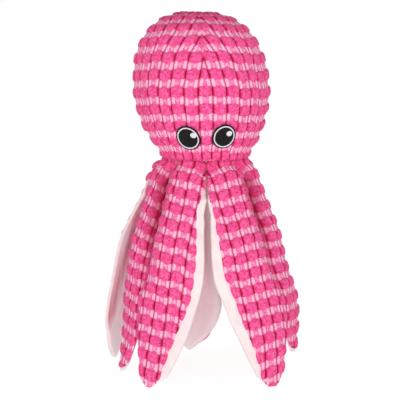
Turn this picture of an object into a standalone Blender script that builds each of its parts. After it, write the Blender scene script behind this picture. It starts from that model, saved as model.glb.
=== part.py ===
"""A plush octopus: a stuffed head of bubble corduroy above eight flat, lined legs.

Metres, +Z up. The face looks along -Y and +X is on the viewer's right. The origin is on the
floor, in the middle of the legs' footprint. The toy stands on the tips of its legs.
"""
import math

import bmesh
import bpy
import numpy as np
from mathutils import Matrix

# Gap between pieces that touch
GAP = 0.0003

# Head: a ball that narrows to a gathered neck
NECK_HEIGHT = 0.179
NECK_RADIUS = 0.037
HEAD_RADIUS = 0.057
HEAD_HEIGHT = 0.1225
WIDEST_SHARE = 0.45
CROWN_POWER = 2.5
NECK_POWER = 1.15
HEAD_LEAN_SHARE = -0.055
FACE_TURN = math.radians(2.3)
NECK_PLACE_X = 0.0042
NECK_PLACE_Y = 0.0104
COVER_WALL = 0.0025
HEAD_SEGMENTS = 28
CROWN_RINGS = 6
JOWL_RINGS = 4

# The plush of the head: rows of bubbles counted up from the hem, and wales round the neck.
ROW_HEIGHT = 0.0144
FIRST_ROW_HEIGHT = 0.0193
ROW_SAG = 0.0034
BUBBLE_HEIGHT = 0.0019
BUBBLE_SINK = 0.0011
SHOULDER_SHARE = 0.2
BAND_SHARE = 0.5
GROOVE_SHARE = 0.75
WALES = 30
COVER_SEGMENTS = 2 * WALES
PROFILE_STEPS = 200

# Round of lining cloth that closes the head, and the thread that gathers the hem on to it
DISC_THICKNESS = 0.0025
THREAD_RADIUS = 0.0005
THREAD_INSET = 0.0042
THREAD_SIDES = 6

# Squeaker in the middle of the filling
SQUEAKER_HEIGHT = 0.062
SQUEAKER_RADIUS = 0.017
SQUEAKER_HALF_THICKNESS = 0.0105
SQUEAKER_WALL = 0.001
MOUTH_RADIUS = 0.005
MOUTH_LENGTH = 0.004
REED_BORE_RADIUS = 0.001
REED_FLANGE_THICKNESS = 0.0012
REED_DEPTH = 0.006
CHANNEL_RADIUS = 0.008
SQUEAKER_SEGMENTS = 20
BULB_RINGS = 6

# Eyes, stitched on the cover
EYE_WIDTH = 0.020
EYE_TALL = 0.0225
EYE_SPACING = math.radians(18.2)
EYE_HEIGHT = 0.0214
RIGHT_EYE_RISE = 0.0013
EYE_THICKNESS = 0.0008
WHITE_THICKNESS = 0.0005
RING_INSET = 0.0014
RING_WIDTH = 0.0016
GLINT_WIDTH = 0.0052
GLINT_UP = 0.0021
GLINT_ACROSS = 0.0036
EYE_SEGMENTS = 20
GLINT_SEGMENTS = 10

# Legs: a corduroy panel, a crinkle sheet and a lining, sewn as one leaf
LEG_WIDTH = 0.054
PANEL_THICKNESS = 0.0026
CRINKLE_THICKNESS = 0.0004
LINING_THICKNESS = 0.0016
RIM_WIDTH = 0.0075
RIM_STEP = 0.0006
SIDE_CLEARANCE = 0.0006
WELL_SPARE = 0.0006
LEAST_BOW = math.radians(22)
CROWDED_BOW = math.radians(99)
MOST_CROWDING_SHARE = 0.5
LEG_REACH = 0.078

# Shares of half the leg's width, by the share of the way from neck to tip
WIDTH_SHARES = ((0, 0.66), (0.06, 0.63), (0.15, 0.66), (0.25, 0.79), (0.35, 0.93), (0.42, 1.0),
                (0.5, 0.97), (0.6, 0.86), (0.73, 0.70), (0.82, 0.55), (0.9, 0.39), (0.96, 0.25),
                (1, 0.11))
# Shares of the way out from the neck's radius to the leg's reach
FLARE_SHARES = ((0, 0), (0.01, 0.01), (0.035, 0.16), (0.08, 0.28), (0.16, 0.42), (0.25, 0.60),
                (0.37, 0.84), (0.5, 0.97), (0.6, 1), (1, 1))
# Where along the leg its reach and its sideways drift are given
PATH_SHARES = (0.45, 0.8, 1)
# The cross sections of a leg from neck to the panel's end, and across it
STATION_SHARES = (0, 0.03, 0.08, 0.16, 0.26, 0.37, 0.48, 0.59, 0.70, 0.80, 0.89, 0.965)
COLUMN_SHARES = (0.8, 0.4)
NECK_RIM_SHARE = 0.15
RIM_GROWTH_SHARE = 0.25
TIP_RIM_SHARE = 0.4
TIP_TAPER_SHARE = 0.12
RIM_ROUND_SHARE = 0.35
EDGE_ROUND_SHARE = 0.35

# The legs in order round the neck, from the front to the viewer's right. Turn shares are of a
# full turn, from -Y. Reach shares are of LEG_REACH and drift shares of LEG_WIDTH, each at the
# three path shares, the lift share of NECK_HEIGHT, and the rim shares of RIM_WIDTH on the sides
# before and after the leg in this order.
LEG_SHARES = {
    "front_left": {"turn_share": -0.07, "reach_shares": (0.92, 1.06, 1.19),
                   "drift_shares": (-0.09, -0.13, -0.16), "lift_share": 0, "rim_shares": (0.3, 1)},
    "front_right": {"turn_share": 0.078, "reach_shares": (0.95, 1.085, 1.21),
                    "drift_shares": (0.15, 0.30, 0.23), "lift_share": 0, "rim_shares": (1, 0.3)},
    "right": {"turn_share": 0.2, "reach_shares": (0.89, 1.02, 1.01),
              "drift_shares": (0.06, 0.10, 0.12), "lift_share": 0.08, "rim_shares": (0.3, 0.3)},
    "rear_right": {"turn_share": 0.311, "reach_shares": (0.86, 0.90, 0.93),
                   "drift_shares": (0, -0.02, -0.04), "lift_share": 0, "rim_shares": (0.3, 0.3)},
    "back_right": {"turn_share": 0.417, "reach_shares": (0.815, 0.86, 0.90),
                   "drift_shares": (-0.05, -0.20, -0.26), "lift_share": 0, "rim_shares": (0.3, 0.3)},
    "back_left": {"turn_share": -0.464, "reach_shares": (0.80, 0.71, 0.64),
                  "drift_shares": (-0.06, -0.12, 0.06), "lift_share": 0, "rim_shares": (0.5, 0.5)},
    "rear_left": {"turn_share": -0.322, "reach_shares": (1.05, 1.12, 1.06),
                  "drift_shares": (0.08, 0.22, 0.30), "lift_share": 0, "rim_shares": (0.3, 0.7)},
    "left": {"turn_share": -0.194, "reach_shares": (0.87, 0.93, 1.0),
             "drift_shares": (0, 0, 0), "lift_share": 0, "rim_shares": (0.3, 0.3)},
}

HINGE_HEIGHT = NECK_HEIGHT - GAP
CRINKLE_DEPTH = PANEL_THICKNESS + GAP
LINING_DEPTH = CRINKLE_DEPTH + CRINKLE_THICKNESS + GAP
LEG_THICKNESS = LINING_DEPTH + LINING_THICKNESS
# Shortest step that tells a slope along a leg or up the head
SLOPE_STEP_SHARE = 0.001
MERGE_DISTANCE = 0.00001
SHARP_ANGLE = math.radians(50)

PINK = (0.90, 0.10, 0.30, 1)
WHITE = (0.86, 0.82, 0.81, 1)
BLACK = (0.02, 0.02, 0.025, 1)
THREAD_WHITE = (0.90, 0.90, 0.90, 1)
FIBRE = (0.93, 0.93, 0.91, 1)
SQUEAKER_WHITE = (0.88, 0.87, 0.82, 1)
FILM = (0.75, 0.77, 0.80, 1)


def cleared():
    """Remove what the file opened with, and start the toy's own collection."""
    for thing in list(bpy.data.objects):
        bpy.data.objects.remove(thing)
    toy = bpy.data.collections.new("plush_octopus")
    bpy.context.scene.collection.children.link(toy)
    return toy


TOY = cleared()


def finish(name, color, roughness):
    """A plain material of one colour and roughness."""
    made = bpy.data.materials.new(name)
    made.use_nodes = True
    shader = made.node_tree.nodes["Principled BSDF"]
    shader.inputs["Base Color"].default_value = color
    shader.inputs["Roughness"].default_value = roughness
    return made


CORDUROY = finish("bubble_corduroy", PINK, 0.9)
SHORT_PLUSH = finish("short_plush", WHITE, 0.95)
EYE_BLACK = finish("black_stitching", BLACK, 0.6)
EYE_WHITE = finish("white_stitching", THREAD_WHITE, 0.6)
FILLING = finish("fibre_filling", FIBRE, 1.0)
SQUEAKER = finish("squeaker_plastic", SQUEAKER_WHITE, 0.45)
CRINKLE = finish("crinkle_film", FILM, 0.35)


def add(name, mesh, material, parent=None):
    """Put a mesh in the toy as a named piece."""
    piece = bpy.data.objects.new(name, mesh)
    piece.data.materials.clear()
    piece.data.materials.append(material)
    piece.parent = parent
    TOY.objects.link(piece)
    return piece


def through(points, at):
    """A smooth curve through (place, value) points that never swings past them."""
    place, value = np.array(points, float).T
    run = np.diff(place)
    slope = np.diff(value) / run
    before, after = slope[:-1], slope[1:]
    turning = before * after <= 0
    total = np.where(turning, 1, before + after)
    inner = np.where(turning, 0, 2 * before * after / total)
    lean = np.concatenate([slope[:1], inner, slope[-1:]])
    k = np.clip(np.searchsorted(place, at, side="right") - 1, 0, len(run) - 1)
    t = (at - place[k]) / run[k]
    return (value[k] + (value[k + 1] - value[k]) * t ** 2 * (3 - 2 * t)
            + run[k] * t * (1 - t) * ((1 - t) * lean[k] - t * lean[k + 1]))


def head_outline(inset=0.0):
    """Radius and height of the head from crown to hem, set in by a wall along its normals.

    Above the widest ring the outline is a quarter of a superellipse. Below it the radius
    comes in to the neck along a quarter of a sine wave.
    """
    widest = HEAD_HEIGHT * WIDEST_SHARE
    angle = np.linspace(math.pi / 2, 0, CROWN_RINGS + 1)
    crown_r = HEAD_RADIUS * np.cos(angle) ** (2 / CROWN_POWER)
    crown_z = widest + (HEAD_HEIGHT - widest) * np.sin(angle) ** (2 / CROWN_POWER)
    crown_r[0] = 0
    jowl_z = widest * np.linspace(1, 0, JOWL_RINGS + 1)[1:]
    radius = np.concatenate([crown_r, head_radius(jowl_z)])
    height = np.concatenate([crown_z, jowl_z])
    along = np.stack([np.gradient(radius), np.gradient(height)])
    along[:, 0] = 1, 0
    along[:, -1] = 0, -1
    along /= np.hypot(*along)
    return np.stack([radius + along[1] * inset, height - along[0] * inset], 1)


def head_radius(height):
    """Radius of the head's cover at a height above the neck."""
    widest = HEAD_HEIGHT * WIDEST_SHARE
    low = np.clip(height / widest, 0, 1)
    high = np.clip((height - widest) / (HEAD_HEIGHT - widest), 0, 1)
    jowl = NECK_RADIUS + (HEAD_RADIUS - NECK_RADIUS) * np.sin(math.pi / 2 * low ** NECK_POWER)
    crown = HEAD_RADIUS * (1 - high ** CROWN_POWER) ** (1 / CROWN_POWER)
    return np.where(height < widest, jowl, crown)


def head_profile():
    """Distance up from the hem, radius and height of the cover, in close steps."""
    widest = HEAD_HEIGHT * WIDEST_SHARE
    angle = np.linspace(0, math.pi / 2, PROFILE_STEPS)
    crown = widest + (HEAD_HEIGHT - widest) * np.sin(angle) ** (2 / CROWN_POWER)
    height = np.concatenate([np.linspace(0, widest, PROFILE_STEPS)[:-1], crown])
    radius = head_radius(height)
    steps = np.hypot(np.diff(radius), np.diff(height))
    return np.concatenate([[0], np.cumsum(steps)]), radius, height


def bubble_rings():
    """Outline of the cover with a ring at the shoulders of each row and in each band."""
    up, radius, height = head_profile()
    rows = np.arange(-1, up[-1] // ROW_HEIGHT)[:, None]
    shares = np.array([-SHOULDER_SHARE, SHOULDER_SHARE, BAND_SHARE])
    places = (FIRST_ROW_HEIGHT + ROW_HEIGHT * (rows + shares)).ravel()
    shoulder = ROW_HEIGHT * SHOULDER_SHARE
    places = places[(places > shoulder) & (places < up[-1] - shoulder)]
    places = np.concatenate([[up[-1]], places[::-1], [0]])
    return np.stack([np.interp(places, up, radius), np.interp(places, up, height)], 1)


def bubbled(mesh):
    """Raise the bubbles of a turned cover, out from the head's middle. Rows sag at the side
    seams, grooves run up between the wales, and the plush lies flat under each eye."""
    points = np.empty(len(mesh.vertices) * 3)
    mesh.vertices.foreach_get("co", points)
    points = points.reshape(-1, 3)
    x, y, z = points.T
    distance, radius, height = head_profile()
    outside = np.abs(head_radius(z) - np.hypot(x, y)) < COVER_WALL / 2
    turn = np.arctan2(x, -y)
    up = np.interp(z, height, distance)
    row = (up - FIRST_ROW_HEIGHT) / ROW_HEIGHT
    off_row = np.abs(row - np.round(row))
    raised = np.clip((BAND_SHARE - off_row) / (BAND_SHARE - SHOULDER_SHARE), 0, 1)
    wale = turn * WALES / (2 * math.pi)
    off_wale = 2 * np.abs(wale - np.round(wale))
    raised = raised * (1 - GROOVE_SHARE * off_wale * np.hypot(x, y) / HEAD_RADIUS)
    ends = np.minimum(up, distance[-1] - up) / ROW_HEIGHT
    settling = np.clip(ends, 0, 1)
    up = up - ROW_SAG * np.sin(turn) ** 2 * settling
    r, z = np.interp(up, distance, radius), np.interp(up, distance, height)
    clear = np.ones_like(z)
    for azimuth, raise_by in ((-EYE_SPACING, 0), (EYE_SPACING, RIGHT_EYE_RISE)):
        across = (turn - azimuth) * r / (EYE_WIDTH / 2 + ROW_HEIGHT * BAND_SHARE)
        rise = (z - EYE_HEIGHT - raise_by) / (EYE_TALL / 2 + ROW_HEIGHT * BAND_SHARE)
        clear = np.where(np.hypot(across, rise) < 1, 0, clear)
    lift = (BUBBLE_HEIGHT * raised - BUBBLE_SINK) * clear * settling
    middle = HEAD_HEIGHT * WIDEST_SHARE
    reach = np.hypot(r, z - middle)
    grown = 1 + lift / reach
    moved = np.stack([r * grown * np.sin(turn), -r * grown * np.cos(turn),
                      middle + (z - middle) * grown], 1)
    points = np.where(outside[:, None], moved, points)
    mesh.vertices.foreach_set("co", points.ravel())
    return mesh


def turned(name, outline, segments, closed):
    """A body turned from an outline of radii and heights, as a finished mesh."""
    mesh = bpy.data.meshes.new(name)
    count = len(outline)
    edges = [(k, k + 1) for k in range(count - 1)] + ([(count - 1, 0)] if closed else [])
    mesh.from_pydata([(r, 0, z) for r, z in outline], edges, [])
    maker = bpy.data.objects.new(name + "_maker", mesh)
    bpy.context.scene.collection.objects.link(maker)
    screw = maker.modifiers.new("turn", "SCREW")
    screw.steps = screw.render_steps = segments
    screw.use_merge_vertices = True
    screw.merge_threshold = MERGE_DISTANCE
    shape = bpy.data.meshes.new_from_object(
        maker.evaluated_get(bpy.context.evaluated_depsgraph_get()))
    bpy.data.objects.remove(maker)
    made = bmesh.new()
    made.from_mesh(shape)
    bmesh.ops.recalc_face_normals(made, faces=made.faces)
    made.to_mesh(shape)
    made.free()
    shape.shade_smooth()
    shape.set_sharp_from_angle(angle=SHARP_ANGLE)
    return shape


def settled(mesh):
    """Turn the face a little to its side and lean the head, with the hem kept level."""
    lean = Matrix.Identity(4)
    lean[0][2] = HEAD_LEAN_SHARE
    mesh.transform(lean @ Matrix.Rotation(FACE_TURN, 4, "Z"))
    return mesh


def in_head(name, mesh, material):
    """Place a piece of the head, whose own origin is in the middle of the neck."""
    piece = add(name, settled(mesh), material)
    piece.location = NECK_PLACE_X, NECK_PLACE_Y, NECK_HEIGHT
    return piece


def cover_half(name, side):
    """One panel of the head's cover: the turned shell, cut at the side seams."""
    outer, inner = bubble_rings(), head_outline(COVER_WALL)
    shell = bubbled(turned(name, np.concatenate([outer, inner[::-1]]), COVER_SEGMENTS,
                           closed=False))
    made = bmesh.new()
    made.from_mesh(shell)
    bmesh.ops.bisect_plane(
        made, geom=made.verts[:] + made.edges[:] + made.faces[:], dist=MERGE_DISTANCE,
        plane_co=(0, side * GAP / 2, 0), plane_no=(0, -side, 0), clear_outer=True)
    bmesh.ops.holes_fill(made, edges=[e for e in made.edges if e.is_boundary], sides=0)
    bmesh.ops.recalc_face_normals(made, faces=made.faces)
    made.to_mesh(shell)
    made.free()
    return in_head(name, shell, CORDUROY)


def bulb_outline(spread):
    """Radius and height of the squeaker's round part, grown or shrunk by a spread."""
    lowest = math.asin(MOUTH_RADIUS / SQUEAKER_RADIUS)
    angle = np.linspace(0, math.pi - lowest, BULB_RINGS + 1)
    wide, thick = SQUEAKER_RADIUS + spread, SQUEAKER_HALF_THICKNESS + spread
    return np.stack([wide * np.sin(angle), SQUEAKER_HEIGHT + thick * np.cos(angle)], 1)


def squeaker():
    """The hollow bulb with its open mouth, and the reed plugged into the mouth."""
    outer, inner = bulb_outline(0), bulb_outline(-SQUEAKER_WALL)
    mouth = outer[-1][1] - MOUTH_LENGTH
    bore = MOUTH_RADIUS - SQUEAKER_WALL
    inner[-1] = bore, inner[-1][1]
    ends = [(MOUTH_RADIUS, mouth), (bore, mouth)]
    outer[-1] = MOUTH_RADIUS, outer[-1][1]
    in_head("squeaker_bulb", turned(
        "squeaker_bulb", np.concatenate([outer, ends, inner[::-1]]), SQUEAKER_SEGMENTS,
        closed=False), SQUEAKER)
    plug = bore - GAP
    seat = mouth - GAP
    reed = [(REED_BORE_RADIUS, seat + REED_DEPTH), (plug, seat + REED_DEPTH), (plug, seat),
            (MOUTH_RADIUS, seat), (MOUTH_RADIUS, seat - REED_FLANGE_THICKNESS),
            (REED_BORE_RADIUS, seat - REED_FLANGE_THICKNESS)]
    in_head("squeaker_reed", turned("squeaker_reed", reed, SQUEAKER_SEGMENTS, closed=True),
            SQUEAKER)


def filling():
    """The fibre that fills the cover, with a pocket round the squeaker and its channel."""
    floor = DISC_THICKNESS + GAP
    outer = head_outline(COVER_WALL + GAP)
    low = np.interp(floor, outer[::-1, 1], outer[::-1, 0])
    outer = np.concatenate([outer[outer[:, 1] > floor + GAP], [(low, floor)]])
    pocket = bulb_outline(GAP)
    waist = pocket[(pocket[:, 0] > CHANNEL_RADIUS) | (pocket[:, 1] > SQUEAKER_HEIGHT)]
    drop = np.interp(CHANNEL_RADIUS, pocket[::-1, 0][:2], pocket[::-1, 1][:2])
    channel = [(CHANNEL_RADIUS, floor), (CHANNEL_RADIUS, drop)]
    outline = np.concatenate([outer, channel, waist[::-1]])
    in_head("head_filling", turned("head_filling", outline, HEAD_SEGMENTS, closed=False),
            FILLING)


def base():
    """The round of cloth inside the hem, and the thread stitched round its underside."""
    rim = NECK_RADIUS - COVER_WALL - GAP
    disc = [(0, DISC_THICKNESS), (rim, DISC_THICKNESS), (rim, 0), (0, 0)]
    in_head("base_disc", turned("base_disc", disc, HEAD_SEGMENTS, closed=False), SHORT_PLUSH)
    ring = rim - THREAD_INSET
    turn = np.linspace(0, 2 * math.pi, THREAD_SIDES, endpoint=False)
    thread = np.stack([ring + THREAD_RADIUS * np.sin(turn),
                       -GAP - THREAD_RADIUS + THREAD_RADIUS * np.cos(turn)], 1)
    in_head("closing_thread", turned("closing_thread", thread, HEAD_SEGMENTS, closed=True),
            EYE_WHITE)


def on_cover(azimuth, across, up, lift):
    """Points lifted off the cover, by distances across and up its surface from an eye's middle."""
    step = HEAD_HEIGHT * SLOPE_STEP_SHARE
    rise = (head_radius(EYE_HEIGHT + step) - head_radius(EYE_HEIGHT - step)) / (2 * step)
    height = EYE_HEIGHT + up / math.hypot(1, rise)
    slope = (head_radius(height + step) - head_radius(height - step)) / (2 * step)
    size = np.hypot(1, slope)
    turn = azimuth + across / head_radius(height)
    radius = head_radius(height) + lift / size
    return np.stack([radius * np.sin(turn), -radius * np.cos(turn),
                     height - lift * slope / size], -1)


def patch(name, azimuth, across, up, rings, segments, lift, thickness, material):
    """A stitched patch that hugs the cover: rings of points round a middle, given as half
    widths and half heights, with an open middle if the first ring isn't a point."""
    turn = np.linspace(0, 2 * math.pi, segments, endpoint=False)
    made = bmesh.new()
    loops = []
    for half_width, half_height in rings:
        if half_width == 0:
            points = on_cover(azimuth, np.array([across]), np.array([up]), lift)
        else:
            points = on_cover(azimuth, across + half_width * np.cos(turn),
                              up + half_height * np.sin(turn), lift)
        loops.append([made.verts.new(p) for p in points])
    for inner, outer in zip(loops, loops[1:]):
        for k in range(segments):
            after = (k + 1) % segments
            if len(inner) == 1:
                made.faces.new((inner[0], outer[k], outer[after]))
            else:
                made.faces.new((inner[k], outer[k], outer[after], inner[after]))
    mesh = bpy.data.meshes.new(name)
    made.to_mesh(mesh)
    made.free()
    piece = in_head(name, mesh, material)
    shell = piece.modifiers.new("cloth", "SOLIDIFY")
    shell.thickness = thickness
    shell.offset = 1
    return piece


def eye(side, azimuth, up):
    """An embroidered eye: a black disc, with a white ring and a white glint stitched over it."""
    wide, tall = EYE_WIDTH / 2, EYE_TALL / 2
    over = GAP + EYE_THICKNESS + GAP
    inner = RING_INSET + RING_WIDTH
    patch(f"{side}_eye_disc", azimuth, 0, up, [(0, 0), (wide / 2, tall / 2), (wide, tall)],
          EYE_SEGMENTS, GAP, EYE_THICKNESS, EYE_BLACK)
    patch(f"{side}_eye_ring", azimuth, 0, up,
          [(wide - inner, tall - inner), (wide - RING_INSET, tall - RING_INSET)],
          EYE_SEGMENTS, over, WHITE_THICKNESS, EYE_WHITE)
    half = GLINT_WIDTH / 2
    patch(f"{side}_eye_glint", azimuth, GLINT_ACROSS, up + GLINT_UP, [(0, 0), (half, half)],
          GLINT_SEGMENTS, over, WHITE_THICKNESS, EYE_WHITE)


def azimuth_of(leg):
    """A leg's direction from the neck's axis, as an angle from -Y towards +X."""
    return 2 * math.pi * leg["turn_share"]


def middle_line(leg, v):
    """Distance out from the neck's axis, drift to the side, and height of a leg's middle line."""
    places = (0, *PATH_SHARES)
    reaches = leg["reach_shares"]
    reach = LEG_REACH * through(list(zip(places, (reaches[0], *reaches))), v)
    out = NECK_RADIUS + (reach - NECK_RADIUS) * through(FLARE_SHARES, v)
    drift = LEG_WIDTH * through(list(zip(places, (0, *leg["drift_shares"]))), v)
    end = NECK_HEIGHT * leg["lift_share"]
    return out, drift, HINGE_HEIGHT + (end - HINGE_HEIGHT) * v


def facing(leg, v):
    """The outward and upward parts of the normal of a leg's middle line."""
    out_a, _, up_a = middle_line(leg, v - SLOPE_STEP_SHARE)
    out_b, _, up_b = middle_line(leg, v + SLOPE_STEP_SHARE)
    length = np.hypot(out_b - out_a, up_b - up_a)
    return (up_a - up_b) / length, (out_b - out_a) / length


def rim_width(leg, v, side):
    """How far the lining stands out past the panel on one side."""
    share = NECK_RIM_SHARE + (leg["rim_shares"][side > 0] - NECK_RIM_SHARE) * np.clip(
        v / RIM_GROWTH_SHARE, 0, 1)
    return RIM_WIDTH * share * np.clip((1 + TIP_TAPER_SHARE / 2 - v) / TIP_TAPER_SHARE,
                                       TIP_RIM_SHARE, 1)


def half_section(name, v, side):
    """Half the width of a leg along its curve, to the rim's edge, and the angle it bows through.

    A leg that would be wider than its share of the ring bows more, and stays on its own side
    of the plane midway to its neighbour.
    """
    names = list(LEG_SHARES)
    leg = LEG_SHARES[name]
    other = LEG_SHARES[names[(names.index(name) + side) % len(names)]]
    out, drift, _ = middle_line(leg, v)
    own = azimuth_of(leg) + np.arctan2(drift, out)
    other_out, other_drift, _ = middle_line(other, v)
    theirs = azimuth_of(other) + np.arctan2(other_drift, other_out)
    between = (theirs - own + math.pi) % (2 * math.pi) - math.pi
    plane = own + between / 2 - azimuth_of(leg)
    outward, _ = facing(leg, v)

    def room(bow):
        across, back = np.sin(bow) / bow, (1 - np.cos(bow)) / bow
        free = side * (out * np.sin(plane) - drift * np.cos(plane)) - SIDE_CLEARANCE
        return free / (across * np.cos(plane) + side * outward * back * np.sin(plane))

    wished = LEG_WIDTH / 2 * through(WIDTH_SHARES, v) + rim_width(leg, v, side)
    crowding = np.clip((1 - room(LEAST_BOW) / wished) / MOST_CROWDING_SHARE, 0, 1)
    bow = np.sqrt(LEAST_BOW ** 2 + CROWDED_BOW ** 2 * crowding)
    return np.minimum(wished, room(bow)), bow


def leg_points(name, v, across, depth):
    """Points of a leg, in its hinge's frame, by place along it, place across it from -1 to 1
    at the rim's edges, and depth below its outer face."""
    v, across, depth = np.broadcast_arrays(v, across, depth)
    leg = LEG_SHARES[name]
    out, drift, up = middle_line(leg, v)
    outward, upward = facing(leg, v)
    low, low_bow = half_section(name, v, -1)
    high, high_bow = half_section(name, v, 1)
    half, bow = np.where(across < 0, low, high), np.where(across < 0, low_bow, high_bow)
    angle = across * bow
    sunk = half / bow * (1 - np.cos(angle)) + depth * np.cos(angle)
    return np.stack([drift + half / bow * np.sin(angle) - depth * np.sin(angle),
                     NECK_RADIUS - out + outward * sunk,
                     up - HINGE_HEIGHT - upward * sunk], -1)


def panel_edge(name, v, side, spare=0.0):
    """Place across the leg where its outer panel ends, or a little past it."""
    half, _ = half_section(name, v, side)
    return side * (1 - (rim_width(LEG_SHARES[name], v, side) - spare) / half)


def loft(name, order, rings, material, parent):
    """A closed body through rings of points, with a face on each end.

    Each four-sided patch is split from its point of lower order at one ring to its point of
    higher order at the next, so that sheets that lie on each other are split alike and keep
    their gap.
    """
    rows, count = rings.shape[:2]
    made = bmesh.new()
    verts = [[made.verts.new(p) for p in ring] for ring in rings]
    for row in range(rows - 1):
        a, b = verts[row], verts[row + 1]
        for k in range(count):
            after = (k + 1) % count
            low, high = (k, after) if order[row, after] >= order[row, k] else (after, k)
            made.faces.new((a[low], a[high], b[high]))
            made.faces.new((a[low], b[high], b[low]))
    made.faces.new(verts[0])
    made.faces.new(verts[-1])
    bmesh.ops.recalc_face_normals(made, faces=made.faces)
    mesh = bpy.data.meshes.new(name)
    made.to_mesh(mesh)
    made.free()
    mesh.shade_smooth()
    mesh.set_sharp_from_angle(angle=SHARP_ANGLE)
    return add(name, mesh, material, parent)


def columns(name, v, shares, spare=0.0):
    """Places across the leg at shares of its panel's half widths, from one edge to the other."""
    low, high = panel_edge(name, v, -1, spare), panel_edge(name, v, 1, spare)
    return np.concatenate([low * np.array(shares), 0 * low, high * np.array(shares)[::-1]], 1)


def sheet_rings(name, v, shares, top, thickness, edge):
    """Order and rings of a sheet at a depth in the leg, with its outer edges rounded off."""
    place = columns(name, v, shares)
    over = np.full(place.shape, float(top))
    over[:, [0, -1]] += edge
    under = np.full(place.shape, top + thickness)
    across = np.concatenate([place, place[:, ::-1]], 1)
    depth = np.concatenate([over, under[:, ::-1]], 1)
    return across - depth / LEG_WIDTH, leg_points(name, v, across, depth)


def lining_rings(name):
    """Order and rings of the lining: a tray for the panel, with a rounded rim and a flat tip."""
    end = STATION_SHARES[-1] + WELL_SPARE / NECK_HEIGHT
    places = (*STATION_SHARES[:-1], end, end, (1 + end) / 2, 1)
    v = np.array(places)[:, None]
    well = columns(name, v, (1, *COLUMN_SHARES), WELL_SPARE)
    low, high = well[:, :1], well[:, -1:]
    soft = [low + (-1 - low) * (1 - RIM_ROUND_SHARE), high + (1 - high) * (1 - RIM_ROUND_SHARE)]
    ones = np.ones_like(v)
    front = np.concatenate([-ones, soft[0], low, well, high, soft[1], ones], 1)
    floor = np.where(np.arange(len(places)) < len(STATION_SHARES), LINING_DEPTH, RIM_STEP)
    depth = np.concatenate([
        LEG_THICKNESS / 2 * ones, RIM_STEP * ones, RIM_STEP * ones,
        floor[:, None] * np.ones_like(well), RIM_STEP * ones, RIM_STEP * ones,
        LEG_THICKNESS / 2 * ones], 1)
    back = np.concatenate([soft[1], well[:, 2:-2][:, ::-1], soft[0]], 1)
    across = np.concatenate([front, back], 1)
    depth = np.concatenate([depth, LEG_THICKNESS * np.ones_like(back)], 1)
    rings = leg_points(name, v, across, depth)
    rings[-1, :, 2] = NECK_HEIGHT * LEG_SHARES[name]["lift_share"] - HINGE_HEIGHT
    return across - depth / LEG_WIDTH, rings


def leg(name):
    """A leg on its hinge: corduroy outside, lining inside, a crinkle sheet between them."""
    azimuth = azimuth_of(LEG_SHARES[name])
    hinge = bpy.data.objects.new(f"{name}_hinge", None)
    hinge.location = (NECK_PLACE_X + NECK_RADIUS * math.sin(azimuth),
                      NECK_PLACE_Y - NECK_RADIUS * math.cos(azimuth), HINGE_HEIGHT)
    hinge.rotation_euler = 0, 0, azimuth
    TOY.objects.link(hinge)
    v = np.array(STATION_SHARES)[:, None]
    loft(f"{name}_leg_panel", *sheet_rings(
        name, v, (1, *COLUMN_SHARES), 0, PANEL_THICKNESS, PANEL_THICKNESS * EDGE_ROUND_SHARE),
        CORDUROY, hinge)
    loft(f"{name}_leg_crinkle", *sheet_rings(
        name, v[1:-1], COLUMN_SHARES, CRINKLE_DEPTH, CRINKLE_THICKNESS, 0), CRINKLE, hinge)
    loft(f"{name}_leg_lining", *lining_rings(name), SHORT_PLUSH, hinge)


cover_half("head_cover_front", -1)
cover_half("head_cover_back", 1)
filling()
squeaker()
base()
eye("left", -EYE_SPACING, 0)
eye("right", EYE_SPACING, RIGHT_EYE_RISE)
for leg_name in LEG_SHARES:
    leg(leg_name)
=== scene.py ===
import math
from functools import partialmethod

import bpy
import numpy as np
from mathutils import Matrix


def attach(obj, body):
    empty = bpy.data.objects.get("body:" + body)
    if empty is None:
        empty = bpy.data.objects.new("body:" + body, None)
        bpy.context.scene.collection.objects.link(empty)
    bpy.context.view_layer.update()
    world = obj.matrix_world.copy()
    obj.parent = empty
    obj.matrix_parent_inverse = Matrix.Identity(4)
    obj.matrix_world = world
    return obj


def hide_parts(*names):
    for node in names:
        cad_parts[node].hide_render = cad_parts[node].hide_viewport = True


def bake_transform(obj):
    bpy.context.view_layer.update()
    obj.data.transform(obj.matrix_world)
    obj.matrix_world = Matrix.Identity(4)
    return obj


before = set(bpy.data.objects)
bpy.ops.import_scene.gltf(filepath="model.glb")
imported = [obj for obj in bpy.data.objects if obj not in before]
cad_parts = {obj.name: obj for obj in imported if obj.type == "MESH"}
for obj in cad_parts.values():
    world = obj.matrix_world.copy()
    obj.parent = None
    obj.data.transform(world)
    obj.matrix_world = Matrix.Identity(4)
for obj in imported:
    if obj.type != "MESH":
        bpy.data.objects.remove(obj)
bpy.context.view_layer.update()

# The photograph's view: a long lens 1.2 m in front of the toy and 8 degrees above the
# horizon, aimed at the middle of its height. NECK is where the head is sewn to the legs.
NECK = np.array([0.0042, 0.0104, 0.179])
AIM = NECK + [-0.00425, 0, -0.0369]
CAMERA_DISTANCE = 1.2
CAMERA_RISE = math.radians(8)
LENS_MM = 127.06
SENSOR_MM = 36
camera = bpy.data.objects.new("camera", bpy.data.cameras.new("camera"))
camera.data.lens, camera.data.sensor_width = LENS_MM, SENSOR_MM
camera.location = AIM + CAMERA_DISTANCE * np.array(
    [0, -math.cos(CAMERA_RISE), math.sin(CAMERA_RISE)])
camera.rotation_euler = math.pi / 2 - CAMERA_RISE, 0, 0
bpy.context.scene.collection.objects.link(camera)
bpy.context.scene.camera = camera
bpy.context.scene.view_settings.view_transform = "Standard"

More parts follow.
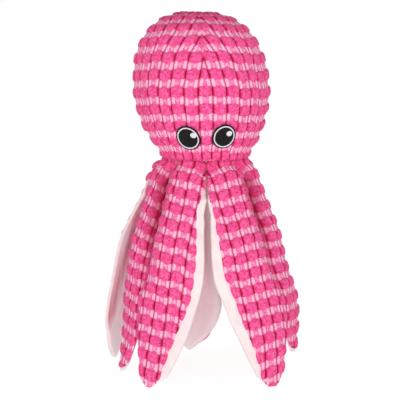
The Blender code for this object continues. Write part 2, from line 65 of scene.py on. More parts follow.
# The studio: a white floor that runs back under a white background, soft light from all
# round with a wide lamp above the camera and a small one low down, a glow from the floor as
# from a light table, and a faint shadow where the legs stand.
WORLD_LIGHT = 0.62
FLOOR_SIZE = 600
FLOOR_DROP = 0.0002
SHADOW_SHARE = 0.3
TABLE_GLOW = 0.3
GLOW_STRENGTH = 1.22
LAMPS = (("front_lamp", (-0.3, -1.7, 0.5), 0.9, 2.7),
         ("low_lamp", (0.05, -1.35, 0.22), 0.2, 5.6))


class Socket:
    """A shader output that Python's arithmetic works on, by adding Math nodes."""

    def __init__(self, nodes, output):
        self.nodes, self.output = nodes, output

    def other(self, name):
        """Another output of the same node."""
        return Socket(self.nodes, self.output.node.outputs[name])

    def math(self, operation, *others):
        return self.nodes.node("ShaderNodeMath", {"operation": operation},
                               dict(enumerate((self, *others))))

    def __rsub__(self, other):
        return self.math("MULTIPLY_ADD", -1, other)

    __add__ = __radd__ = partialmethod(math, "ADD")
    __sub__ = partialmethod(math, "SUBTRACT")
    __mul__ = __rmul__ = partialmethod(math, "MULTIPLY")
    __truediv__ = partialmethod(math, "DIVIDE")
    __pow__ = partialmethod(math, "POWER")
    __abs__ = partialmethod(math, "ABSOLUTE")
    fraction = partialmethod(math, "FRACT")
    or_more = partialmethod(math, "MAXIMUM")
    or_less = partialmethod(math, "MINIMUM")

    def rises(self, low, high):
        """0 below low and 1 above high, eased between; high may be the lower of the two."""
        return self.nodes.node(
            "ShaderNodeMapRange", {"interpolation_type": "SMOOTHSTEP"},
            {0: self, 1: min(low, high), 2: max(low, high),
             3: 0 if low < high else 1, 4: 1 if low < high else 0})


class Nodes:
    """The shader nodes of the world or of a material."""

    def __init__(self, tree):
        self.tree = tree

    def node(self, kind, settings=(), sockets=(), output=0):
        """Any node: its settings are set first, then its sockets' values or links."""
        made = self.tree.nodes.new(kind)
        for key, value in dict(settings).items():
            setattr(made, key, value)
        for key, value in dict(sockets).items():
            self.feed(made.inputs[key], value)
        return Socket(self, made.outputs[output])

    def feed(self, target, value):
        if isinstance(value, Socket):
            self.tree.links.new(value.output, target)
        else:
            target.default_value = value

    def straight(self):
        """1 for rays from the camera, off gloss and through glass, 0 for all the others."""
        seen = self.node("ShaderNodeLightPath", output="Is Camera Ray")
        return seen.or_more(seen.other("Is Glossy Ray")).or_more(
            seen.other("Is Transmission Ray"))


class Finish(Nodes):
    """A material, made of one Principled shader and the nodes that feed it."""

    def __init__(self, name, **constants):
        self.material = bpy.data.materials.new(name)
        self.material.use_nodes = True
        super().__init__(self.material.node_tree)
        self.shader = self.tree.nodes["Principled BSDF"]
        for socket, value in constants.items():
            self.shader.inputs[socket.replace("_", " ")].default_value = value

    def paint(self, socket, value):
        self.feed(self.shader.inputs[socket], value)

    def place(self):
        """The point in the piece's own coordinates, in metres."""
        return self.node("ShaderNodeTexCoord", output=3)

    def chart(self):
        """Wale and row numbers, or stitches across and along, from the piece's UV map."""
        numbers = self.node("ShaderNodeUVMap", {"uv_map": "wale"})
        across = self.node("ShaderNodeSeparateXYZ", {}, {0: numbers})
        return across, across.other("Y")

    def marked(self, name):
        """The numbers of that name that mark() gave to the piece."""
        return self.node("ShaderNodeAttribute", {"attribute_name": name}, output=2)

    def noise(self, scale, detail=2.0, roughness=0.5):
        """Smooth noise from about 0 to 1, with so many cells to the metre."""
        return self.node("ShaderNodeTexNoise", {}, {
            "Vector": self.place(), "Scale": scale, "Detail": detail, "Roughness": roughness})

    def cells(self, scale, randomness=1.0):
        """Distance to the nearest of many scattered dots, with so many to the metre."""
        return self.node("ShaderNodeTexVoronoi", {}, {
            "Vector": self.place(), "Scale": scale, "Randomness": randomness})

    def mix(self, share, first, second):
        """A colour that goes from the first to the second as the share goes from 0 to 1."""
        return self.node("ShaderNodeMix", {"data_type": "RGBA"},
                         {0: share, 6: first, 7: second}, output=2)

    def bump(self, height, depth, strength=1.0):
        """Small relief under the shader's light, of a height from 0 to 1 times a depth."""
        self.paint("Normal", self.node("ShaderNodeBump", {}, {
            "Strength": strength, "Distance": depth, "Height": height}))


world = bpy.data.worlds.new("studio")
bpy.context.scene.world = world
world.use_nodes = True
sky = Nodes(world.node_tree)
backdrop = sky.tree.nodes["Background"]
backdrop.inputs["Color"].default_value = 1, 1, 1, 1
sky.feed(backdrop.inputs["Strength"], sky.straight() * (1 - WORLD_LIGHT) + WORLD_LIGHT)

floor_mesh = bpy.data.meshes.new("floor")
floor_corners = FLOOR_SIZE / 2 * np.array([[-1, -1, 0], [1, -1, 0], [1, 1, 0], [-1, 1, 0]])
floor_mesh.from_pydata((floor_corners - [0, 0, FLOOR_DROP]).tolist(), [], [(0, 1, 2, 3)])
floor = bpy.data.objects.new("floor", floor_mesh)
bpy.context.scene.collection.objects.link(floor)
ground = Finish("white_floor", Base_Color=(0.9, 0.9, 0.9, 1), Roughness=1.0)
glow = ground.node("ShaderNodeEmission", {}, {
    "Color": (1, 1, 1, 1), "Strength": GLOW_STRENGTH})
lit_and_glowing = ground.node("ShaderNodeMixShader", {}, {
    0: ground.straight() * (1 - SHADOW_SHARE - TABLE_GLOW) + TABLE_GLOW,
    1: Socket(ground, ground.shader.outputs[0]), 2: glow})
ground.feed(ground.tree.nodes["Material Output"].inputs["Surface"], lit_and_glowing)
floor_mesh.materials.append(ground.material)

for lamp_name, spot, size, power in LAMPS:
    lamp = bpy.data.objects.new(lamp_name, bpy.data.lights.new(lamp_name, "AREA"))
    lamp.data.size, lamp.data.energy = size, power
    lamp.location = spot
    away = np.array(spot) - AIM
    lamp.rotation_euler = (math.acos(away[2] / np.linalg.norm(away)), 0,
                           math.atan2(away[1], away[0]) + math.pi / 2)
    bpy.context.scene.collection.objects.link(lamp)

# The head's cover: a front and a back panel of pink plush, sewn together at the sides and
# gathered at the neck. A dart in the middle of each panel takes in its crown, so that the
# wales are cut off along it one after the other and meet in V's.
NECK_RADIUS = 0.037
HEAD_RADIUS = 0.057
HEAD_HEIGHT = 0.1225
WIDEST = 0.45 * HEAD_HEIGHT
CROWN_POWER = 2.5
NECK_POWER = 1.15
HEAD_LEAN = -0.055
FACE_TURN = math.radians(2.3)
COVER_WALL = 0.0025
WALL_GROWTH = 0.004
PLUSH_SINK = 0.0013
HEAD_STEP = 0.0006
POLE_HOLE = 0.0004
POLE_FLAT = 0.006
HEM_ROLL = 0.0008
HEM_WIDTH = 0.002
PANEL_GAP = 0.00015
SEAM_WIDTH = 0.0016
SEAM_DEPTH = 0.0012
SEAM_DRIFT = 0.0012
# Distances from the pole, and how much cloth the dart takes in there on either side.
DART_REACH = (0, 0.0245, 0.049, 0.0705, 0.095)
DART_TAKEN = (0.042, 0.030, 0.018, 0.006, 0)
DART_WIDTH = 0.0012
DART_DEPTH = 0.0009
DART_EASE = 0.004
FIRST_BAND = 0.0121
SIDE_SAG = 0.0034
LUMP_SIZE = 0.022
LUMP_HEIGHT = 0.0007
CHEEK_HEIGHT = 0.024
CHEEK_SPREAD = 0.013
CHEEK_PUFF = 0.0013
CROWN_FADE = 0.05
CROWN_REACH = 0.055
CROWN_SHADE = 0.58
EYE_TURN = math.radians(18.2)
EYE_HEIGHT = 0.0205
EYE_HALF_WIDTH = 0.0103
EYE_HALF_HEIGHT = 0.0114
RIGHT_EYE_RISE = 0.0013
EYE_PRESS = 0.0006
PRESS_REACH = 1.22
PRESS_EASE = 0.3

# Its cloth is bubble corduroy: plush knitted in wales, with a fat cut bubble on every wale at
# each row, and a flat pale band between the rows, where white ribs show beside the grooves.
WALE = 0.0119
ROW = 0.0144
BUBBLE_MIDDLE = 0.27
BUBBLE_TALL = 0.325
BUBBLE_ROUNDING = 0.075
RIB_PLACE = 0.63
RIB_HALF = 0.24
RIB_TALL = 0.29
BUBBLE_HEIGHT = 0.0019
GROOVE_DEPTH = 0.0008
RIB_HEIGHT = 0.0004
FUZZ = 0.00026
FUZZ_SIZE = 0.0013
TUFT_SIZE = 0.0028
NOTCH_WIDTH = 0.12
PUFF_SPREAD = 0.28
ROW_WANDER = 0.18
# The pile's pinks. Those for the bubbles' sides, the grooves, the band's grooves and the pink
# after them are painted shade.
PINKS = {
    "bubble": (237, 68, 134), "bubble lit": (250, 103, 166), "tip": (255, 146, 192),
    "parted": (178, 22, 78), "bubble side shade": (208, 28, 90), "groove": (170, 8, 58),
    "band": (226, 98, 150), "band lit": (244, 138, 182), "rib": (249, 164, 197),
    "rib lit": (253, 197, 219), "band groove": (204, 88, 132), "painted_shade": (168, 4, 58),
    "sheen": (255, 170, 205)}


def unit(values):
    """The values held between 0 and 1."""
    return np.clip(values, 0, 1)


def eased(share):
    """A share that leaves 0 and meets 1 without a corner: three squares less two cubes."""
    return share * share * (3 - 2 * share)


def clouds(points, size, seed=0):
    """A smooth random field from -1 to 1: hashed numbers on a lattice of that cell size,
    eased from one lattice point to the next."""
    scaled = points / size + seed * 17.31
    cell = np.floor(scaled).astype(np.int64)
    ease = eased(scaled - cell)
    total = np.zeros(points.shape[:-1])
    for corner in np.ndindex(2, 2, 2):
        x, y, z = np.moveaxis(cell + corner, -1, 0)
        mixed = x * 374761393 + y * 668265263 + z * 362437
        mixed = (mixed ^ (mixed >> 13)) * 1274126177
        value = ((mixed ^ (mixed >> 16)) & 0xFFFF) / 32767.5 - 1
        total += value * np.prod(np.where(corner, ease, 1 - ease), -1)
    return total


def dice(*numbers):
    """A fixed random number from 0 to 1 for whole numbers, the same on every run."""
    total = sum(n * k for n, k in zip(numbers, (12.9898, 78.233, 37.719)))
    return np.mod(np.sin(total) * 43758.5453, 1)


def row_shift(column, seed):
    """How far a wale's rows sit above or below its neighbours', as a share of a row."""
    return ROW_WANDER * (dice(column, seed) - 0.5)


def bubbles(wale, row, points, seed):
    """Height of the plush over its backing. Each bubble is a pillow, high in the middle of
    its wale and falling off as a root of how near it is to the wale's and the row's edges;
    the band has two low ribs and every groove is a narrow notch."""
    column = np.floor(wale)
    across = np.abs(wale - column - 0.5) * 2
    shifted = row + row_shift(column, seed)
    number = np.floor(shifted)
    away = np.abs(shifted - number - BUBBLE_MIDDLE)
    away = np.minimum(away, 1 - away)
    share = away / (BUBBLE_TALL - BUBBLE_ROUNDING * across ** 2)
    pillow = np.sqrt(unit(1 - across ** 4) * unit(1 - share ** 3))
    puff = 1 + PUFF_SPREAD * (dice(column, number, seed) - 0.5)
    rib = unit(1 - ((across - RIB_PLACE) / RIB_HALF) ** 2 - ((0.5 - away) / RIB_TALL) ** 2)
    notch = np.exp(-((1 - across) / NOTCH_WIDTH) ** 2) * (0.3 + 0.7 * unit(1 - share ** 3))
    fuzz = clouds(points, FUZZ_SIZE, seed) + 0.8 * clouds(points, TUFT_SIZE, seed + 1)
    return (BUBBLE_HEIGHT * pillow * puff + RIB_HEIGHT * rib - GROOVE_DEPTH * notch
            + FUZZ * fuzz * (0.3 + 0.7 * pillow))


def tint(red, green, blue):
    """A colour written as it looks on a screen, from 0 to 255, as linear light."""
    share = np.array([red, green, blue]) / 255
    linear = np.where(share <= 0.04045, share / 12.92, ((share + 0.055) / 1.055) ** 2.4)
    return (*(float(x) for x in linear), 1.0)


def corduroy():
    """The plush's colours, laid out by its wales and rows: hot pink bubbles with darker specks
    where the pile parts, painted shade darkening them towards their sides and to crimson in the
    gaps between them, pale bands with white ribs and painted shade in their grooves, and painted
    shade wherever a piece's numbers ask for it."""
    pink = {part: tint(*color) for part, color in PINKS.items()}
    cloth = Finish("bubble_corduroy", Roughness=0.92, Sheen_Weight=0.18, Sheen_Roughness=0.5,
                   Sheen_Tint=pink["sheen"], Specular_IOR_Level=0.15)
    wale, row = cloth.chart()
    slow = cloth.noise(210)
    quick = cloth.noise(800)
    wale = wale + (slow - 0.5) * 0.10 + (quick - 0.5) * 0.06
    row = row + (slow - 0.5) * 0.12 + (quick - 0.5) * 0.12
    across = abs(wale.fraction() - 0.5) * 2
    away = abs(row.fraction() - BUBBLE_MIDDLE)
    away = away.or_less(1 - away)
    share = away / (BUBBLE_TALL - across ** 2 * BUBBLE_ROUNDING)
    inside = share.rises(1.08, 0.93)
    grain = cloth.noise(430, 3)
    specks = cloth.noise(1250, roughness=0.6)
    parted = cloth.cells(520).rises(0.40, 0.16) * cloth.noise(300, 1).rises(0.38, 0.60)
    tip = cloth.cells(610, 0.9).rises(0.30, 0.12)
    bubble = cloth.mix(grain.rises(0.36, 0.64), pink["bubble"], pink["bubble lit"])
    bubble = cloth.mix(tip * 0.45, bubble, pink["tip"])
    bubble = cloth.mix(parted * 0.75, bubble, pink["parted"])
    # Painted shade: the bubble darkens towards the sides of its wale and turns crimson in the
    # groove between bubbles.
    bubble = cloth.mix(across.rises(0.60, 0.90) * 0.55, bubble, pink["bubble side shade"])
    bubble = cloth.mix(across.rises(0.84, 0.95), bubble, pink["groove"])
    rib = 1 - ((across - RIB_PLACE) / RIB_HALF) ** 2 - ((0.5 - away) / RIB_TALL) ** 2
    spot = across.rises(0.34, 0.12) * (0.5 - away).rises(0.13, 0.05) * grain.rises(0.40, 0.55)
    ribbed = cloth.mix(quick.rises(0.3, 0.6), pink["rib"], pink["rib lit"])
    band = cloth.mix(quick.rises(0.35, 0.65), pink["band"], pink["band lit"])
    band = cloth.mix(rib.rises(-0.15, 0.40).or_more(spot * 0.8), band, ribbed)
    # Painted shade in the band's grooves.
    band = cloth.mix(across.rises(0.88, 0.97), band, pink["band groove"])
    pile = cloth.mix(inside, band, bubble)
    # Painted shade where a piece's numbers ask for it: over the head's crown, at the top of each
    # leg and along the creases where legs press together.
    cloth.paint("Base Color", cloth.mix(cloth.marked("painted_shade"), pile, pink["painted_shade"]))
    cloth.bump(specks * 0.3 + quick * 0.35 - parted * 0.35, 0.0009, 0.7)
    return cloth.material


CORDUROY = corduroy()


def with_poles(values):
    """One value to a vertex: those of all the rings, then the first and last ring's means."""
    return np.concatenate([values.reshape(-1, *values.shape[2:]), values[[0, -1]].mean(1)])


def skin(points, endless):
    """Vertices and faces over rings of points: each ring closes on itself, and the first and
    last are closed by a fan to their middle, or joined where the piece is endless. The faces
    are turned over where the volume that they close comes out below nothing."""
    rings, count = points.shape[:2]
    body = np.arange(rings * count).reshape(rings, count)
    after = np.roll(body, -1, 1)
    if endless:
        quads = np.stack([body, after, np.roll(after, -1, 0), np.roll(body, -1, 0)], -1)
        verts, ends = points.reshape(-1, 3), np.zeros((0, 3), int)
    else:
        quads = np.stack([body[:-1], after[:-1], after[1:], body[1:]], -1)
        verts, ends = with_poles(points), np.concatenate([
            np.stack([after[0], body[0], np.full(count, rings * count)], -1),
            np.stack([body[-1], after[-1], np.full(count, rings * count + 1)], -1)])
    quads = quads.reshape(-1, 4)
    a, b, c, d = (verts[quads[:, k]] for k in range(4))
    volume = np.einsum("ij,ij->", np.cross(b - a, c - a) + np.cross(c - a, d - a), a)
    if volume < 0:
        quads, ends = quads[:, ::-1], ends[:, ::-1]
    return verts, quads, ends


def number_wales(mesh, corners, sizes, wale, row, side, seed):
    """Write wale and row numbers to a UV map, face by face, so that rows can jump at a
    groove. With a side given, wales count both ways from the middle of one."""
    face = np.repeat(np.arange(len(sizes)), sizes)

    def by_face(values):
        return (np.bincount(face, values) / sizes)[face]

    u, v = with_poles(wale)[corners], with_poles(row)[corners]
    if side is not None:
        u = 0.5 + u * np.where(by_face(with_poles(side)[corners]) < 0, -1, 1)
    v = v + row_shift(np.floor(by_face(u)), seed)
    mesh.uv_layers.new(name="wale").data.foreach_set("uv", np.stack([u, v], -1).ravel())


def wrapped(name, points, material, wale=None, row=None, side=None, seed=0, endless=False):
    """A closed piece from rings of points, with wale and row numbers where it has them."""
    verts, quads, ends = skin(points, endless)
    corners = np.concatenate([quads.ravel(), ends.ravel()])
    sizes = np.concatenate([np.full(len(quads), 4), np.full(len(ends), 3)])
    mesh = bpy.data.meshes.new(name)
    mesh.vertices.add(len(verts))
    mesh.vertices.foreach_set("co", verts.ravel())
    mesh.loops.add(len(corners))
    mesh.loops.foreach_set("vertex_index", corners.astype(np.int32))
    mesh.polygons.add(len(sizes))
    mesh.polygons.foreach_set("loop_start", (np.cumsum(sizes) - sizes).astype(np.int32))
    mesh.update(calc_edges=True)
    if wale is not None:
        number_wales(mesh, corners, sizes, wale, row, side, seed)
    mesh.polygons.foreach_set("use_smooth", np.ones(len(sizes), bool))
    mesh.materials.append(material)
    piece = bpy.data.objects.new(name, mesh)
    bpy.context.scene.collection.objects.link(piece)
    return piece


def mark(piece, name, values):
    """Give a piece one number to each point of its rings, which its material reads."""
    field = piece.data.attributes.new(name, "FLOAT", "POINT")
    field.data.foreach_set("value", with_poles(values).astype(np.float32))


def through(places, values, at):
    """A smooth curve through values at places that never swings past them."""
    place, value = np.array(places, float), np.array(values, float)
    run = np.diff(place)
    slope = np.diff(value) / run
    before, after = slope[:-1], slope[1:]
    turning = before * after <= 0
    inner = np.where(turning, 0, 2 * before * after / np.where(turning, 1, before + after))
    lean = np.concatenate([slope[:1], inner, slope[-1:]])
    k = np.clip(np.searchsorted(place, at, side="right") - 1, 0, len(run) - 1)
    t = (at - place[k]) / run[k]
    return (value[k] + (value[k + 1] - value[k]) * eased(t)
            + run[k] * t * (1 - t) * ((1 - t) * lean[k] - t * lean[k + 1]))


def head_radius(height):
    """Radius of the cover at a height above the neck: a superellipse above the widest ring,
    and a quarter of a sine wave from there down to the neck."""
    low = unit(height / WIDEST)
    high = unit((height - WIDEST) / (HEAD_HEIGHT - WIDEST))
    jowl = NECK_RADIUS + (HEAD_RADIUS - NECK_RADIUS) * np.sin(math.pi / 2 * low ** NECK_POWER)
    crown = HEAD_RADIUS * (1 - high ** CROWN_POWER) ** (1 / CROWN_POWER)
    return np.where(height < WIDEST, jowl, crown)


def head_profile():
    """Radius, height and distance from the pole, in close steps from the pole to the hem."""
    angle = np.linspace(math.pi / 2, 0, 400)
    height = np.concatenate([
        WIDEST + (HEAD_HEIGHT - WIDEST) * np.sin(angle) ** (2 / CROWN_POWER),
        np.linspace(WIDEST, 0, 300)[1:]])
    radius = head_radius(height)
    radius[0] = 0
    gone = np.concatenate([[0], np.cumsum(np.hypot(np.diff(radius), np.diff(height)))])
    return radius, height, gone


PROFILE = head_profile()
COVER_LENGTH = PROFILE[2][-1]


def on_profile(gone):
    """Radius and height of the cover at a distance from the pole."""
    radius, height, reach = PROFILE
    return np.interp(gone, reach, radius), np.interp(gone, reach, height)


def settled(points):
    """Turn the face a little to its side, lean the head, and set it on the neck."""
    x, y, z = np.moveaxis(points, -1, 0)
    turned = np.stack([x * math.cos(FACE_TURN) - y * math.sin(FACE_TURN) + HEAD_LEAN * z,
                       x * math.sin(FACE_TURN) + y * math.cos(FACE_TURN), z], -1)
    return turned + NECK


def round_axis(turn, radius, height):
    """Points at a turn from the face's middle, a distance from the head's axis, a height."""
    return np.stack(np.broadcast_arrays(
        radius * np.sin(turn), -radius * np.cos(turn), height), -1)


def on_head(turn, gone, lift):
    """Points at a turn from the face's middle and a distance from the pole, lifted off the
    smooth cover along its normal."""
    step = COVER_LENGTH / 400
    (r, z), (r_over, z_over), (r_under, z_under) = (
        on_profile(gone + away) for away in (0, -step, step))
    dr, dz = r_under - r_over, z_under - z_over
    size = np.maximum(np.hypot(dr, dz), 1e-9)
    return round_axis(turn, r - lift * dz / size, z + lift * dr / size)


def fix_to_head(piece, node):
    """Say that a piece moves with the head and what it stands for."""
    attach(piece, "head")
    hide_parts(node)


def pressed_flat(lift, turn, r, z):
    """The cover's lift, pressed flat in an oval under each eye that is eased at its edge."""
    for side, rise in ((-1, 0), (1, RIGHT_EYE_RISE)):
        x, y = (turn - side * EYE_TURN) * r, z - EYE_HEIGHT - rise
        near = np.hypot(x / EYE_HALF_WIDTH, y / EYE_HALF_HEIGHT)
        press = eased(unit((PRESS_REACH - near) / PRESS_EASE))
        lift = lift * (1 - press) - EYE_PRESS * press
    return lift


def head_panel(name, middle, node, seed):
    """One panel of the cover, from side seam to side seam. The wale number grows with the
    arc from the middle plus what the dart has taken in, and below the widest ring the wales
    are gathered with the cloth."""
    rows = int(COVER_LENGTH / HEAD_STEP)
    columns = 2 * int(math.pi / 2 * HEAD_RADIUS / HEAD_STEP)
    gone = np.linspace(POLE_HOLE, COVER_LENGTH, rows)[:, None]
    turn = np.linspace(-math.pi / 2, math.pi / 2, columns + 1)[None, :]
    r, z = on_profile(gone)
    middle_seam = SEAM_DRIFT * unit(gone / CROWN_FADE) * unit(z / WIDEST)
    beside = turn * np.where(z < WIDEST, HEAD_RADIUS, r) - middle_seam
    arc = np.abs(beside)
    taken = np.where(gone < DART_REACH[-1], through(DART_REACH, DART_TAKEN,
                                                    np.minimum(gone, DART_REACH[-1])), 0)
    wale = (arc + taken) / WALE + 0.5
    row = ((COVER_LENGTH - gone - FIRST_BAND + SIDE_SAG * np.sin(turn) ** 2) / ROW
           + BUBBLE_MIDDLE + 0.5)
    flat = on_head(turn, gone, 0)
    signed = np.where(beside < 0, 1 - wale, wale)
    relief = bubbles(signed, row, flat, seed)
    seam = np.exp(-((math.pi / 2 - np.abs(turn)) * r / SEAM_WIDTH) ** 2)
    dart = np.exp(-(arc / DART_WIDTH) ** 2) * unit(taken / DART_EASE)
    pole = unit(gone / POLE_FLAT) * (0.65 + 0.35 * unit(gone / CROWN_FADE))
    hem = unit((COVER_LENGTH - gone) / HEM_WIDTH)
    relief = relief * pole * (1 - 0.7 * seam) * (1 - 0.5 * dart) * (0.5 + 0.5 * hem)
    lift = (relief - PLUSH_SINK - SEAM_DEPTH * seam - DART_DEPTH * dart
            - HEM_ROLL * (1 - hem) ** 2 + LUMP_HEIGHT * clouds(flat, LUMP_SIZE, seed + 5)
            + CHEEK_PUFF * np.exp(-((z - CHEEK_HEIGHT) / CHEEK_SPREAD) ** 2))
    if middle == 0:
        lift = pressed_flat(lift, turn, r, z)
    outer = on_head(turn + middle, gone, lift)
    inner_turn = np.linspace(math.pi / 2, -math.pi / 2, 25)[None, :]
    inner = on_head(inner_turn + middle, gone, -COVER_WALL * np.clip(gone / WALL_GROWTH, 0.2, 1)
                    + 0 * inner_turn)
    points = np.concatenate([outer, inner], 1)
    points[..., 1] -= PANEL_GAP * (1 if middle == 0 else -1)
    piece = wrapped(name, settled(points), CORDUROY,
                    np.concatenate([wale - 0.5, np.abs(inner_turn) * r / WALE], 1),
                    np.concatenate([row, row[:, :1] + 0 * inner_turn], 1),
                    np.concatenate([beside, inner_turn * r], 1), seed)
    # Painted shade over the crown, darkest at the pole and gone by CROWN_REACH down from it.
    mark(piece, "painted_shade", np.repeat(CROWN_SHADE * unit(1 - gone / CROWN_REACH),
                                  points.shape[1], 1))
    fix_to_head(piece, node)


head_panel("head_front_plush", 0, "head_cover_front", 3)
head_panel("head_back_plush", math.pi, "head_cover_back", 11)

# The eyes: two embroidered patches, each a black satin-stitched oval with a white ring
# stitched round it just inside its edge and a white glint, sewn flat on the front panel.
EYE_LIFT = 0.0004
EYE_DOME = 0.0009
RING_INSET = 0.0014
RING_WIDTH = 0.0010
GLINT_HALF = 0.0025
GLINT_UP = 0.0030
LEFT_GLINT = 0.0050
RIGHT_GLINT = 0.0037
STITCH = 0.00042
STITCH_RELIEF = 0.00007
RING_LIFT = 0.00095
GLINT_LIFT = 0.0012
WHITE_DOME = 0.0004
BACK_DOME = 0.3
PATCH_RAGGED = 0.022
RING_RAGGED = 0.006


def cover_slope(height):
    """How much the cover's radius grows with its height, from a tenth of a millimetre below
    to a tenth above."""
    return (head_radius(height + 0.0001) - head_radius(height - 0.0001)) / 0.0002


def on_cover(azimuth, across, up, lift):
    """Points lifted off the cover's front, by distances across and up it from an eye."""
    height = EYE_HEIGHT + up / math.hypot(1, cover_slope(EYE_HEIGHT))
    slope = cover_slope(height)
    size = np.hypot(1, slope)
    radius = head_radius(height)
    return settled(round_axis(azimuth + across / radius, radius + lift / size,
                              height - lift * slope / size))


def stitching(name, color, strand_shade):
    """Embroidery thread: rows of satin stitches side by side, with a dull silky gloss,
    painted shade at the edges of each strand and patches of painted sheen.
    """
    thread = Finish(name, Roughness=0.6, Specular_IOR_Level=0.2)
    across, _ = thread.chart()
    lean = across + thread.noise(600, 1) * 0.5
    strand = abs(lean.fraction() - 0.5) * 2
    # Painted sheen and shade: each strand is lighter in its middle and darker at its edges, and
    # where this noise is high more of it takes the lighter colour.
    sheen = thread.noise(260).rises(0.3, 0.7)
    thread.paint("Base Color", thread.mix(
        strand.rises(1.0, 0.35) * (0.4 + sheen * 0.6), tint(*strand_shade), tint(*color)))
    thread.bump(strand.rises(1.0, 0.1), 0.0004, 0.6)
    return thread.material


BLACK_THREAD = stitching("black_thread", (30, 27, 31), (10, 9, 11))
WHITE_THREAD = stitching("white_thread", (255, 255, 255), (246, 245, 247))


def full_turn(count):
    """Evenly spaced angles once round."""
    return np.linspace(0, 2 * math.pi, count, endpoint=False)


def oval(name, node, azimuth, across, up, wide, tall, lift, dome, material, inner=0.0):
    """A domed patch, or a ring where there is an inner share: its section is half an ellipse
    over a flatter back, carried round an oval whose edge is a little ragged."""
    turn = full_turn(96)
    if inner:
        around = full_turn(20)[None, :]
        share = (1 + inner) / 2 + (1 - inner) / 2 * np.cos(around)
        rise = lift + dome * np.maximum(np.sin(around), -BACK_DOME)
        turn = turn[:, None]
    else:
        bulge = np.linspace(0.04, math.pi / 2, 24)
        share = np.concatenate([np.sin(bulge), np.sin(bulge[::-1])])[:, None]
        dome = dome * np.concatenate([np.cos(bulge), -BACK_DOME * np.cos(bulge[::-1])])
        rise = lift + dome[:, None]
        turn = turn[None, :]
    share, rise, turn = np.broadcast_arrays(share, rise, turn)
    ragged = 1 + (RING_RAGGED if inner else PATCH_RAGGED) * (
        np.sin(turn * 7 + azimuth * 9) + np.sin(turn * 16 + 2) + 0.7 * np.sin(turn * 29)
        ) / 2 * share ** 4
    x, y = wide * share * ragged * np.cos(turn), tall * share * ragged * np.sin(turn)
    stitches = (turn * wide if inner else x) / STITCH
    ripple = STITCH_RELIEF * np.sin(2 * math.pi * stitches)
    points = on_cover(azimuth, across + x, up + y, rise + ripple)
    piece = wrapped(name, points, material, stitches, y / STITCH, endless=bool(inner))
    fix_to_head(piece, node)


for eye, eye_turn, eye_rise, glint in (("left_eye", -EYE_TURN, 0, LEFT_GLINT),
                                       ("right_eye", EYE_TURN, RIGHT_EYE_RISE, RIGHT_GLINT)):
    oval(f"{eye}_oval", f"{eye}_disc", eye_turn, 0, eye_rise, EYE_HALF_WIDTH,
         EYE_HALF_HEIGHT, EYE_LIFT, EYE_DOME, BLACK_THREAD)
    ring_wide, ring_tall = EYE_HALF_WIDTH - RING_INSET, EYE_HALF_HEIGHT - RING_INSET
    oval(f"{eye}_white_ring", f"{eye}_ring", eye_turn, 0, eye_rise, ring_wide, ring_tall,
         RING_LIFT, WHITE_DOME, WHITE_THREAD, 1 - RING_WIDTH / ring_wide)
    oval(f"{eye}_white_glint", f"{eye}_glint", eye_turn, glint, eye_rise + GLINT_UP,
         GLINT_HALF, GLINT_HALF, GLINT_LIFT, WHITE_DOME, WHITE_THREAD)

# Inside the head: one mass of polyester fibre with a pocket for the squeaker, a hollow
# plastic bulb with a reed plugged into its mouth. Both are pushed in through the neck.
SQUEAKER_HEIGHT = 0.062
POCKET_RADIUS = 0.0175
POCKET_HALF_THICKNESS = 0.011
CHANNEL_RADIUS = 0.0082
FILLING_INSET = 0.0034
FILLING_FLOOR = 0.003
CHANNEL_TOP = 0.051
LUMPINESS = 0.0009


def fibre():
    """Matted polyester: pale, fully rough, with a fine tangle in its relief."""
    wool = Finish("fibre_filling", Roughness=1.0, Sheen_Weight=0.4, Specular_IOR_Level=0.1)
    tangle = wool.noise(380, 4, roughness=0.7)
    wool.paint("Base Color", wool.mix(tangle.rises(0.35, 0.65), tint(226, 224, 218),
                                      tint(246, 245, 240)))
    wool.bump(tangle, 0.0012, 0.7)
    return wool.material


def stuffing():
    """Rings from the crown down the outside of the filling, in under the neck, and up the
    channel round the squeaker's pocket, all of it lumpy."""
    gone = np.linspace(0.002, COVER_LENGTH - 0.002, 110)
    r, z = on_profile(gone)
    r, z = r - FILLING_INSET, z - FILLING_INSET * unit(1 - gone / 0.06)
    keep = (z > FILLING_FLOOR) & (r > 0.0005)
    pocket = np.linspace(2.65, 0.03, 30)
    path = np.concatenate([
        np.stack([r[keep], z[keep]], 1),
        np.stack([np.linspace(r[keep][-1] - 0.001, CHANNEL_RADIUS, 24),
                  np.full(24, FILLING_FLOOR)], 1),
        np.stack([np.full(20, CHANNEL_RADIUS),
                  np.linspace(FILLING_FLOOR + 0.001, CHANNEL_TOP, 20)], 1),
        np.stack([POCKET_RADIUS * np.sin(pocket),
                  SQUEAKER_HEIGHT + POCKET_HALF_THICKNESS * np.cos(pocket)], 1)])
    points = round_axis(full_turn(160)[None, :], path[:, :1], path[:, 1:])
    outside = np.arange(len(path))[:, None] < keep.sum() - 6
    lumps = clouds(points, 0.009, 31) + 0.5 * clouds(points, 0.004, 33) - 0.8
    points[..., :2] *= 1 + np.where(outside, LUMPINESS * lumps, 0)[..., None] / np.maximum(
        path[:, :1, None], 0.004)
    return points


filling = wrapped("stuffing", settled(stuffing()), fibre())
fix_to_head(filling, "head_filling")


def moulded():
    """Soft moulded plastic: off-white, half gloss, with a faint orange-peel relief."""
    bulb = Finish("squeaker_plastic", Roughness=0.42)
    speckle = bulb.noise(420)
    bulb.paint("Base Color", bulb.mix(speckle.rises(0.3, 0.7), tint(236, 232, 218),
                                      tint(244, 241, 230)))
    bulb.paint("Roughness", 0.36 + speckle * 0.12)
    bulb.bump(bulb.noise(1300, 1), 0.0002, 0.3)
    return bulb.material


PLASTIC = moulded()
for node in ("squeaker_bulb", "squeaker_reed"):
    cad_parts[node].material_slots[0].material = PLASTIC

